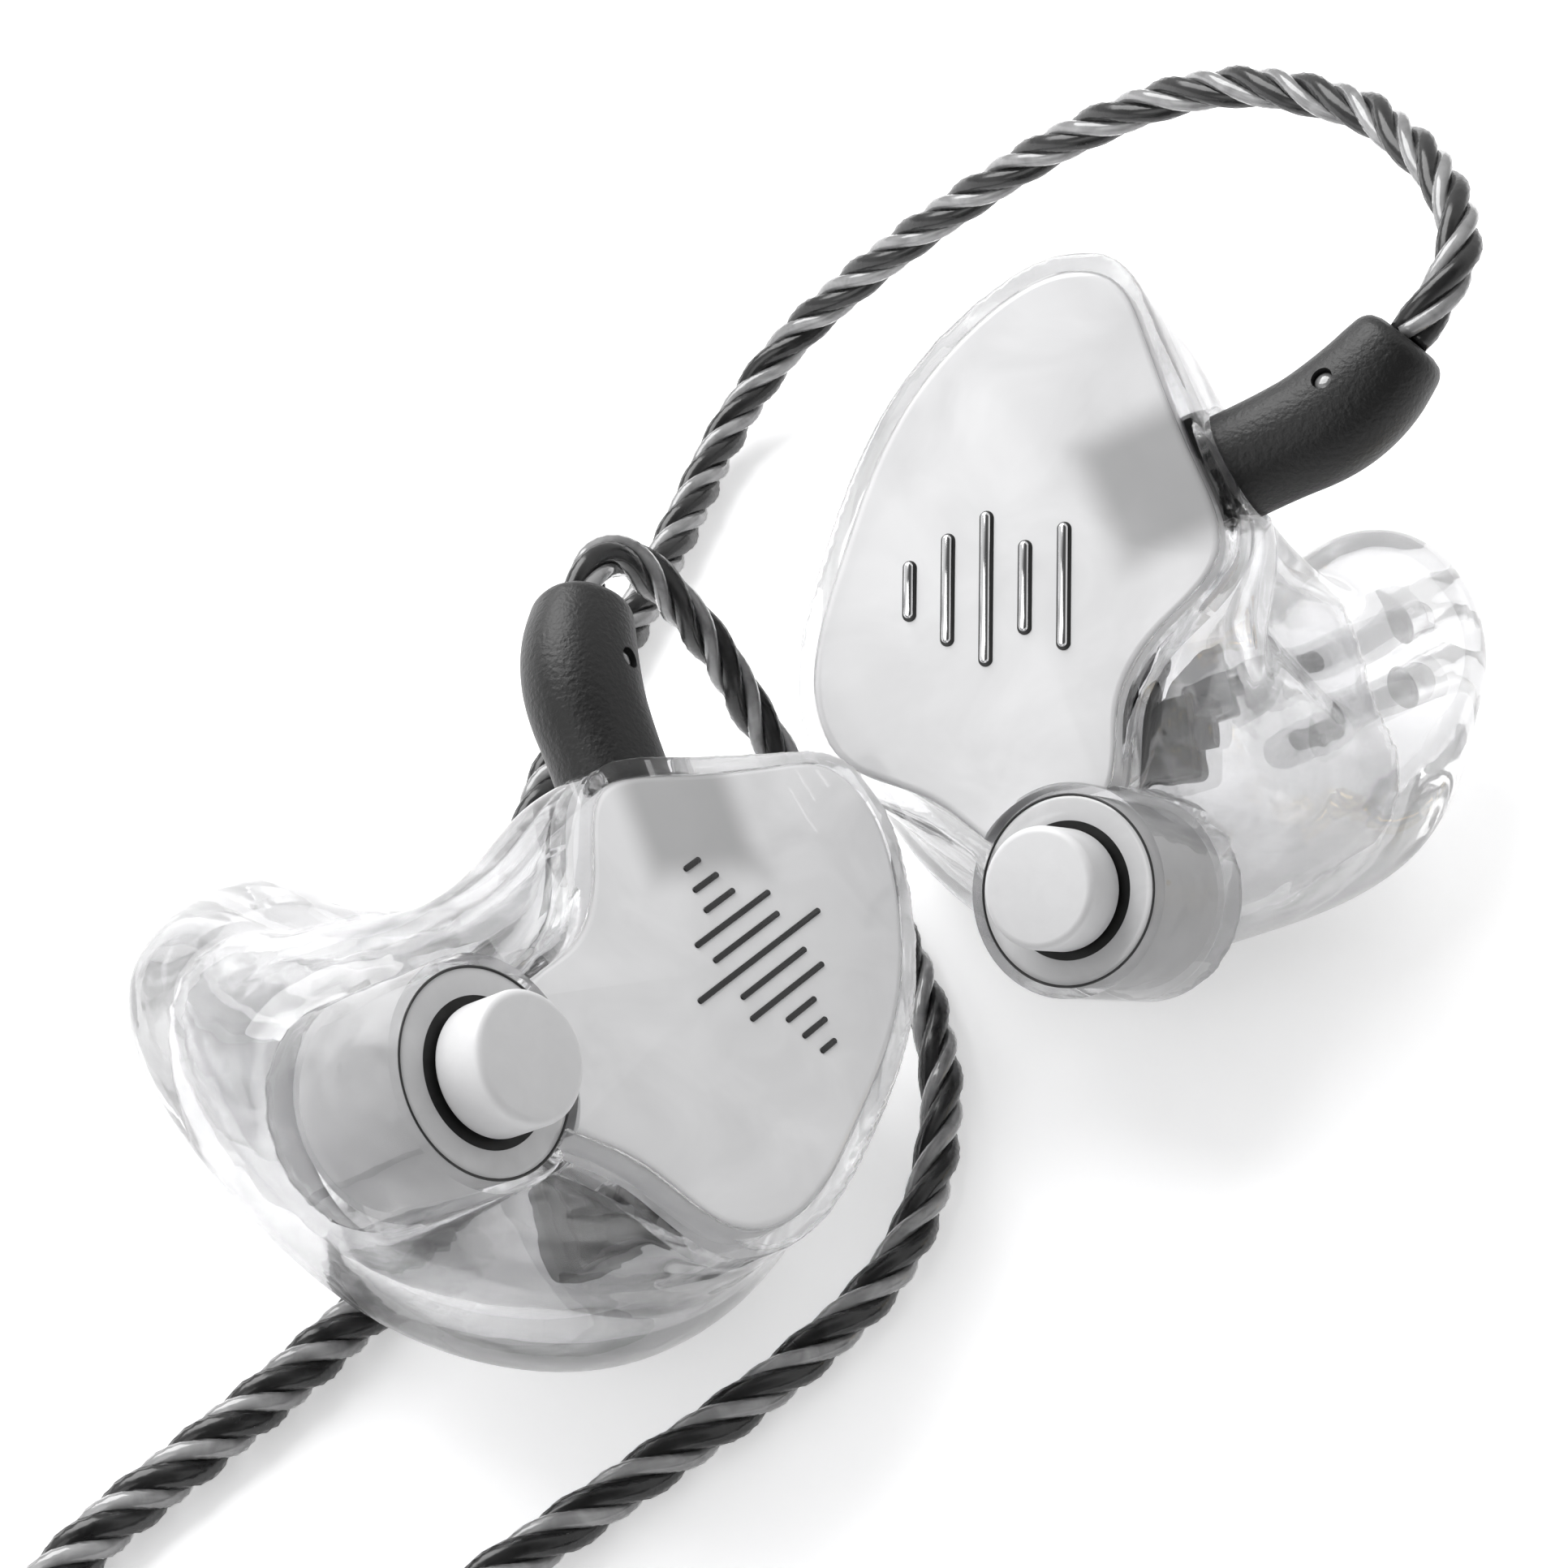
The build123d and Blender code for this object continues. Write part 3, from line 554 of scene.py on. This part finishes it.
def boot_form():
    """The bent boot: soft foot edge, a slight swell at the bend, a rounded end, a small dimple."""
    foot_edge, end_edge = 0.35, 0.7
    stations = [(0, 4.74, 4.4), (3, 4.78, 4.45), (5.4, 5.02, 4.6), (7.9, 4.7, 4.4), (BOOT_LONG, 4.0, 3.9)]
    rings = []
    for far, wide, thick in spline(stations, 60):
        edge = 1.0
        if far < foot_edge:
            edge = 1 - 0.3 * (1 - math.sqrt(max(0, 1 - (1 - far / foot_edge) ** 2))) / wide * 2
        if far > BOOT_LONG - end_edge:
            s = (far - BOOT_LONG + end_edge) / end_edge
            edge = 1 - 0.62 * (1 - math.sqrt(max(0, 1 - s * s))) / wide * 2
        at, turn = boot_centre(far)
        side = Vector((-math.sin(turn), math.cos(turn), 0))
        ring = []
        for q in circle(72):
            c, s = squarish(q, 0.92)
            ring.append(tuple(at + side * (wide / 2 * edge * c) + Vector((0, 0, thick / 2 * edge * s))))
        rings.append(ring)
    dimple = cylinder(DIMPLE - DIMPLE_Z * 0.62, DIMPLE_Z, 0.47, 3.0, 40)
    return taken(cut(blank(*grid(rings)), [dimple]))


def stack(*forms):
    """Several forms as one."""
    verts, faces = [], []
    for v, f in forms:
        faces += [tuple(i + len(verts) for i in face) for face in f]
        verts += list(v)
    return verts, faces


def ring_profile(r, thick, tall, height, points):
    """Profile of a ring of oval section round the axis."""
    angles = np.linspace(0, 2 * math.pi, points)
    return [(r + thick * math.cos(q), height + tall * math.sin(q)) for q in angles]


AXIS = (BOSS, BOSS_Z)
SEAT_PROFILE = [(0, -6.0), (3.95, -6.02), (4.03, -5.9), (4.03, -0.12), (3.93, -0.02), (3.7, 0.0), (2.95, 0.0),
                (2.82, -0.06), (2.8, -0.2), (2.8, -5.0), (0, -5.0)]
STEM_PROFILE = [(0, -4.8), (2.28, -4.8), (2.3, -4.7), (2.3, 0.1), (2.2, 0.9), (0, 0.9)]
DOT_PROFILE = [(0, 0), (0.44, 0), (0.44, 0.05), (0.36, 0.13), (0.2, 0.19), (0, 0.21)]

shell = shell_form()
face = faceplate_form()
boot = boot_form()
cap = turned(rounded(2.56, 0.05, 2.62, 0.34), 96, AXIS)
stem = turned(STEM_PROFILE, 72, AXIS)
o_ring = turned(ring_profile(2.35, 0.38, 0.38, -2.0, 25), 72, AXIS)
seat = turned(SEAT_PROFILE, 96, AXIS)
# a thin black ring where the seat meets the boss: painted shade of the gap between them
line = turned(ring_profile(4.0, 0.045, 0.05, -0.02, 13), 96, AXIS)
dot = turned(DOT_PROFILE, 40, (DIMPLE - DIMPLE_Z * 0.66, DIMPLE_Z))

for side in SIDES:
    plug_body, module = f"{side}_connector", f"{side}_module"
    make(f"{side}_shell_skin", shell, ACRYLIC, side, ROOT, [f"{side}_shell"], 50)
    make(f"{side}_pearl_disc", face, PEARL[side], side, ROOT, [f"{side}_faceplate"], 50)
    make(f"{side}_boot_skin", boot, BOOT, side, plug_body, [f"{side}_connector_boot"], 50)
    make(f"{side}_cap_skin", cap, CAP_FACE, side, module, [f"{side}_module_cap"], 60)
    make(f"{side}_stem_skin", stem, STEM, side, module, [f"{side}_module_body"], 50)
    make(f"{side}_seal_skin", o_ring, DARK_RUBBER, side, module, [f"{side}_module_o_ring"], 60)
    make(f"{side}_seat_skin", seat, SEAT, side, ROOT, [f"{side}_module_seat"], 50)
    # the black ring round the seat is painted shade of the gap
    make(f"{side}_seat_gap_shade", line, STEM, side, ROOT, (), 60)
    make(f"{side}_marker_dot", dot, MARKER, side, plug_body, [f"{side}_side_marker"], 60)


def pill(x, y, tall, wide, high, bevel):
    """A raised bar with round ends and a bevelled top edge, standing along y."""
    half = tall / 2 - wide / 2
    rings = []
    for inset, z in ((0, -0.05), (0, high - bevel), (bevel * 0.5, high - bevel * 0.25), (bevel, high)):
        r = wide / 2 - inset
        rings.append([(x + r * math.cos(q), y + math.copysign(half, math.sin(q)) + r * math.sin(q), z)
                      for q in circle(24) + 0.01])
    return grid(rings)


# middle x and y, length and width of each bar: a level meter on the right, a waveform on the left
METER = [(-4.6 + 1.7 * k, 0.9, tall, 0.42) for k, tall in enumerate((2.4, 4.6, 6.4, 3.8, 5.2))]
WAVE = [(-4.6 + 0.9 * k, 3.6, 1.0 + 7.6 * math.exp(-(((k - 5) / 2.6) ** 2)) * (1.0 if k % 2 else 0.55), 0.26)
        for k in range(11)]
for side, bars, high, look in (("right", METER, 0.2, CHROME), ("left", WAVE, 0.06, DARK_FOIL)):
    form = stack(*[pill(*bar, high, min(0.1, high * 0.5)) for bar in bars])
    make(f"{side}_emblem_bars", form, look, side, ROOT, [f"{side}_emblem"], 30)
# a thin dark copy of the meter bars under the chrome, a little larger and shifted to one side: painted shadow
# of the raised bars
edges = stack(*[pill(x + 0.03, y - 0.04, tall + 0.22, wide + 0.22, 0.035, 0.02)
                for x, y, tall, wide in METER])
make("right_emblem_painted_shadow", edges, STEM, "right")

# CAD nodes that show as they are
LOOKS = {
    "two_pin_socket": BOOT, "socket_contacts": GOLD, "woofer_driver": DRIVER, "mid_driver": DRIVER,
    "treble_driver": STEEL, "crossover_board": BOARD, "sound_tubes": TUBE, "dampers": DAMPER,
    "hookup_wires": WIRE, "pin_insert": STEM, "connector_pins": GOLD,
}
for side in SIDES:
    for node, look in LOOKS.items():
        slots = frame["nodes"][f"{side}_{node}"].data.materials
        slots.clear()
        slots.append(look)

# ------------------------------------------------------------------ cables

CORD_D = 2.3
EAR_COIL, TRUNK_COIL = (-18.0, -68.6), (33.4, -66.2)
STEP = 0.38 * MM  # between the rings of a strand


def coil(at, keys):
    """Points of a coil, 15 degrees apart, between its first and last key (degrees, radius, height)."""
    angles = np.linspace(keys[0][0], keys[-1][0], int((keys[-1][0] - keys[0][0]) / 15) + 1)[1:-1]
    table = np.array(keys, float)
    return [(at[0] + r * math.cos(math.radians(q)), at[1] + r * math.sin(math.radians(q)), z)
            for q, r, z in zip(angles, np.interp(angles, table[:, 0], table[:, 1]),
                               np.interp(angles, table[:, 0], table[:, 2]))]


RIGHT_RUN = [
    (25.91, -0.89, 27.05), (27.4, 0.15, 28.65), (28.5, 2.9, 29.6), (28.0, 8.0, 29.3), (26.9, 11.25, 28.65),
    (25.8, 14.5, 28.0), (20.5, 20.5, 25.5), (14.5, 24.0, 20.5), (8.5, 26.5, 14.0),
    (3.6, 28.4, 7.9), (0.0, 28.6, 3.6), (-3.0, 24.4, 1.3), (-5.0, 17.5, 1.2), (-7.0, 11.0, 1.2),
    (-9.5, 4.0, 1.2), (-11.6, -3.5, 1.2), (-12.1, -11.5, 1.2), (-12.0, -19.5, 1.2), (-14.2, -28.0, 1.2),
    (-20.6, -36.0, 1.2),
    (-28.1, -43.6, 1.2), (-31.2, -51.5, 1.2), (-31.8, -60.0, 1.2), (-31.8, -68.6, 1.2),
]
RIGHT_TAIL = [(-18.0, -82.4, 7.58), (-10.0, -82.4, 8.31), (6.5, -82.4, 3.45), (11.0, -82.4, 2.8)]
LEFT_RUN = [
    (-8.41, -7.66, 18.26), (-8.31, -5.1, 18.7), (-6.4, -2.9, 16.9), (-3.2, -2.3, 11.2), (-2.05, -2.65, 8.75),
    (-0.9, -3.0, 6.3), (2.0, -5.2, 2.3), (4.9, -10.0, 1.2), (6.6, -15.8, 1.2),
    (6.9, -22.0, 1.2), (5.0, -29.2, 1.2), (-0.2, -35.0, 1.2), (-7.0, -40.6, 1.2), (-14.0, -46.5, 1.2),
    (-19.4, -54.75, 1.2), (-25.48, -60.0, 1.2),
]
LEFT_TAIL = [(-18.0, -80.0, 9.06), (-10.0, -80.0, 8.31), (6.5, -80.0, 3.45), (11.0, -80.0, 2.8)]
TRUNK_LEAD = [(22.0, -81.2, 2.8), (27.5, -81.2, 1.6), (33.4, -81.2, 1.2)]
TRUNK_TAIL = [(43.6, -66.2, 9.0), (44.0, -60.5, 10.3), (44.4, -54.5, 10.2), (44.4, -47.5, 5.6),
              (44.4, -41.0, 4.2)]

ROUTES = {
    "right_ear_cable": RIGHT_RUN + coil(EAR_COIL, [(180, 13.8, 1.2), (990, 13.8, 7.58)]) + RIGHT_TAIL,
    "left_ear_cable": LEFT_RUN + coil(EAR_COIL, [(131, 11.4, 1.2), (1350, 11.4, 9.06)]) + LEFT_TAIL,
    "trunk_cable": TRUNK_LEAD + coil(TRUNK_COIL, [
        (270, 15.0, 1.2), (1270, 15.0, 8.2), (1340, 12.6, 8.2), (2330, 12.6, 1.3), (2400, 10.2, 1.3),
        (3600, 10.2, 9.0)]) + TRUNK_TAIL,
}


def centre_line(name, route):
    """The route as a smooth open NURBS curve, read back as even points in metres."""
    curve = bpy.data.curves.new(name + "_line", "CURVE")
    curve.dimensions, curve.resolution_u = "3D", 8
    line = curve.splines.new("NURBS")
    line.points.add(len(route) - 1)
    for point, p in zip(line.points, route):
        point.co = (*world(p), 1)
    line.order_u, line.use_endpoint_u = 3, True
    guide = bpy.data.objects.new(name + "_line", curve)
    bpy.context.scene.collection.objects.link(guide)
    mesh = bpy.data.meshes.new_from_object(guide.evaluated_get(bpy.context.evaluated_depsgraph_get()))
    points = np.array([v.co for v in mesh.vertices])
    bpy.data.objects.remove(guide)
    far = np.concatenate([[0], np.cumsum(np.linalg.norm(np.diff(points, axis=0), axis=1))])
    even = np.linspace(0, far[-1], int(far[-1] / STEP) + 1)
    return np.array([np.interp(even, far, points[:, k]) for k in range(3)]).T, far[-1]


LAY_AT = (0.04, 0.10)  # the twist is loose up to here and tight from here on
LAY = (8.8 * MM, 6.3 * MM)  # one full turn of the twist, loose and tight
SLIM = (0.86, 1.0)  # share of the full diameter, where the twist is loose and tight
STRANDS = (0.57, 0.42, 0.57, 0.42)  # radii, smoky and clear in turn
RIM = 10  # points round a strand


def twisted(name, route, loose=True):
    """Four jacketed strands laid up right-handed around the route, looser and slimmer over the ear."""
    line, length = centre_line(name, route)
    count = len(line)
    ahead = np.gradient(line, axis=0)
    ahead /= np.linalg.norm(ahead, axis=1)[:, None]
    side = np.zeros_like(line)
    v = np.cross(ahead[0], (0, 0, 1.0))
    for i in range(count):  # carried along without spin
        v = v - ahead[i] * (v @ ahead[i])
        v /= np.linalg.norm(v)
        side[i] = v
    up = np.cross(ahead, side)
    far = np.linspace(0, length, count)
    tight = np.interp(far, LAY_AT, (0, 1)) if loose else np.ones(count)
    slim = (SLIM[0] + (SLIM[1] - SLIM[0]) * tight)[:, None]
    lay = LAY[0] + (LAY[1] - LAY[0]) * tight
    phase = np.concatenate([[0], np.cumsum(2 * math.pi * np.diff(far) / lay[1:])])
    verts, faces, groups = [], [], []
    rng = np.random.default_rng(7)
    for k, radius in enumerate(STRANDS):
        wander = np.interp(far, np.linspace(0, length, 40), rng.normal(0, 0.10, 40))
        q = phase + k * math.pi / 2 + wander
        lift = (CORD_D / 2 - radius - (0.06 if k % 2 else 0)) * MM
        axis = line + (side * np.cos(q)[:, None] + up * np.sin(q)[:, None]) * lift * slim
        t = np.gradient(axis, axis=0)
        t /= np.linalg.norm(t, axis=1)[:, None]
        out = axis - line
        out -= t * np.sum(out * t, axis=1)[:, None]
        out /= np.linalg.norm(out, axis=1)[:, None]
        across = np.cross(t, out)
        ring = circle(RIM)
        wall = out[:, None] * np.cos(ring)[None, :, None] + across[:, None] * np.sin(ring)[None, :, None]
        shape = axis[:, None] + radius * MM * slim[:, None] * wall
        v_, f_ = grid([list(map(tuple, r)) for r in shape])
        faces += [tuple(i + len(verts) for i in f) for f in f_]
        verts += v_
        groups += [k % 2] * len(f_)
    mesh = bpy.data.meshes.new(name)
    mesh.from_pydata([tuple(map(float, p)) for p in verts], [], faces)
    for look in (SMOKY, SILVER):
        mesh.materials.append(look)
    mesh.polygons.foreach_set("material_index", np.array(groups, np.int32))
    mesh.shade_smooth()
    cable = bpy.data.objects.new(name, mesh)
    bpy.context.scene.collection.objects.link(cable)
    return cable, line[::6]


# Where each ear cable's run near its connector ends, and where it has come to rest. Measured along this
# direction, the coil and the tail lie past the second point.
EASE = {
    "right": ((25.8, 14.5, 28.0), (13.2, 14.5, 11.2)),
    "left": ((-6.6, -3.0, 17.0), (6.65, -18.9, 1.1)),
}
for side, (ease_from, ease_to) in EASE.items():
    name = f"{side}_ear_cable"
    cable, path = twisted(name, ROUTES[name])
    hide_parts(*[f"{side}_{n}" for n in ("lead_tube", "cable_tube", "cable_coil", "tail_tube")])
    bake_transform(cable)
trunk, trunk_path = twisted("trunk_cable", ROUTES["trunk_cable"], loose=False)
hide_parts("trunk_lead_tube", "trunk_coil", "trunk_tail_tube")
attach(trunk, ROOT)

# ------------------------------------------------------------------ splitter, slider and plug


def barrel_along(start, direction, stations, power, steps=40):
    """A soft barrel along a direction: stations of (distance, width, thickness)."""
    z = Vector(direction).normalized()
    x = Vector((0, 0, 1)).cross(z).normalized()
    y = z.cross(x)
    rings = []
    for far, wide, thick in spline(stations, steps):
        ring = []
        for q in circle(64):
            c, s = squarish(q, power)
            ring.append(tuple(Vector(start) + z * far + x * (c * wide / 2) + y * (s * thick / 2)))
        rings.append(ring)
    return grid(rings)


SPLITTER = [(0, 5.6, 4.3), (0.25, 6.5, 5.0), (1.3, 7.3, 5.45), (6.5, 6.4, 5.2), (9.8, 5.5, 4.9),
            (10.8, 4.9, 4.5), (11.0, 4.1, 3.8)]
splitter = make("splitter_skin", barrel_along((11.0, -81.2, 2.8), (1, 0, 0), SPLITTER, 0.85), BOOT,
                replaces=["y_splitter"], smooth=50)

SLIDE = Vector((16.5, 0, -4.86)).normalized()
SLIDE_X = Vector((0, 1, 0))
SLIDE_Y = SLIDE.cross(SLIDE_X)
SLIDER_AT = Vector((-6.0, -81.2, 7.132))


def long_ring(far, apart, r):
    """A ring round both ear cables: two half circles of radius r, each apart from the middle."""
    return [tuple(SLIDER_AT + SLIDE * far + SLIDE_X * x + SLIDE_Y * y) for x, y in (
        (math.copysign(apart, math.cos(q)) + r * math.cos(q), r * math.sin(q)) for q in circle(64, 0.02))]


sleeve = blank(*grid([long_ring(far, 1.1, 2.2 + grow) for far, grow in (
    (0, -0.45), (0.12, -0.2), (0.45, 0), (5.05, 0), (5.38, -0.2), (5.5, -0.45))]))
way_through = blank(*grid([long_ring(far, 1.2, 1.23) for far in (-1, 7)]))
slider = make("slider_skin", taken(cut(sleeve, [way_through])), SLIDER, body="chin_slider",
              replaces=["chin_slider"], smooth=50)

PLUG = ((44.4, -41.0, 4.2), (0, 1, 0))
relief = [(0, 0), (1.8, 0.02), (1.95, 0.2)]
for k in range(4):
    r, d = 2.0 + 0.14 * k, 1.3 + 1.4 * k
    relief += [(r, d - 0.1), (r - 0.05, d), (r - 0.3, d + 0.12), (r - 0.3, d + 0.58), (r - 0.02, d + 0.7),
               (r + 0.03, d + 0.8)]
relief += [(2.58, 6.9), (2.58, 7.0), (0, 7.0)]
knurl = [(r, start + d) for start in np.arange(13.0, 20.01, 0.4)
         for r, d in ((3.98, 0), (3.88, 0.1), (3.88, 0.2), (3.98, 0.3))]
SHOULDER = 22.0  # end of the barrel, where the contacts start
barrel = [(0, 7.0), (3.4, 7.0), (3.8, 7.15), (4.0, 7.5), (4.0, 10.9), (3.92, 11.0), (3.75, 11.05),
          (3.75, 11.75), (3.92, 11.8), (4.0, 11.9), *knurl, (4.0, 20.5), (4.0, 21.4), (3.85, 21.8),
          (3.5, SHOULDER), (0, SHOULDER)]
# profiles of the contacts and the insulators, measured from the shoulder
CONTACTS = {
    "sleeve": (GOLD, "gold", [(0, 0), (2.6, 0), (2.7, 0.1), (2.7, 0.5), (2.6, 0.6), (1.75, 0.62), (1.75, 8.2),
                              (1.7, 8.3), (0, 8.3)]),
    "ring": (GOLD, "gold", [(0, 9.0), (1.7, 9.0), (1.75, 9.08), (1.75, 10.42), (1.7, 10.5), (0, 10.5)]),
    "tip": (GOLD, "gold", [(0, 11.2), (1.45, 11.2), (1.3, 11.5), (1.2, 11.7), (1.35, 11.95), (1.66, 12.25),
                           (1.68, 12.4), (1.35, 13.2), (0.85, 13.75), (0.35, 14.0), (0, 14.0)]),
    "insulators": (STEM, "module_black", [(0, 8.25), (1.7, 8.25), (1.7, 9.05), (1.1, 9.06), (1.1, 10.44),
                                          (1.68, 10.45), (1.68, 11.2), (0, 11.22)]),
}
plug_pieces = [
    make("relief_skin", turned(relief, 64, PLUG), DARK_RUBBER, replaces=["plug_relief"]),
    make("barrel_skin", turned(barrel, 96, PLUG), BARREL, replaces=["plug_barrel"], smooth=35),
]
for node, (look, slot, profile) in CONTACTS.items():
    name = f"{node.rstrip('s')}_skin"
    form = turned([(r, SHOULDER + d) for r, d in profile], 64, PLUG)
    plug_pieces.append(make(name, form, look, replaces=[f"plug_{node}"], smooth=35))

# ------------------------------------------------------------------ table, light

TABLE = material("table_look", grey(0.93), 0.6, (3, 0.01, 1), (4, grey(0.925), 0.3),
                 Emission_Color=(1, 1, 1, 1), Emission_Strength=0.45)
HALF_TABLE = 3.0
mesh = bpy.data.meshes.new("floor")
mesh.from_pydata([(HALF_TABLE * x, HALF_TABLE * y, 0) for x, y in ((-1, -1), (1, -1), (1, 1), (-1, 1))],
                 [], [(0, 1, 2, 3)])
mesh.materials.append(TABLE)
floor = bpy.data.objects.new("floor", mesh)
bpy.context.scene.collection.objects.link(floor)

# an even white studio, dimmer in front of and above the object so that gloss shows darker shapes
sky = bpy.data.worlds.new("studio")
bpy.context.scene.world = sky
sky.use_nodes = True
nodes, links = sky.node_tree.nodes, sky.node_tree.links
nodes["Background"].inputs["Strength"].default_value = 0.8
direction = nodes.new("ShaderNodeTexCoord")
toward_front = nodes.new("ShaderNodeVectorMath")
toward_front.operation = "DOT_PRODUCT"
toward_front.inputs[1].default_value = (0, -0.62, 0.78)
dim = nodes.new("ShaderNodeMapRange")
dim.interpolation_type = "SMOOTHSTEP"
for key, value in (("From Min", 0.45), ("From Max", 0.92), ("To Min", 1.0), ("To Max", 0.1)):
    dim.inputs[key].default_value = value
links.new(direction.outputs["Generated"], toward_front.inputs[0])
links.new(toward_front.outputs["Value"], dim.inputs["Value"])
links.new(dim.outputs["Result"], nodes["Background"].inputs["Color"])
bpy.context.scene.view_settings.view_transform = "Standard"


def softbox(name, at, towards, size, power):
    """A square area light, placed in millimetres, its side in metres and its power in watts."""
    light = bpy.data.lights.new(name, "AREA")
    light.shape, light.size, light.energy = "SQUARE", size, power
    lamp = bpy.data.objects.new(name, light)
    bpy.context.scene.collection.objects.link(lamp)
    lamp.location = world(at)
    lamp.rotation_mode = "QUATERNION"
    lamp.rotation_quaternion = (Vector(world(towards)) - lamp.location).to_track_quat("-Z", "Y")


softbox("key", (-190, 170, 280), (0, 0, 5), 0.3, 1.5)
softbox("fill", (-200, -200, 200), (0, 0, 10), 0.2, 0.2)
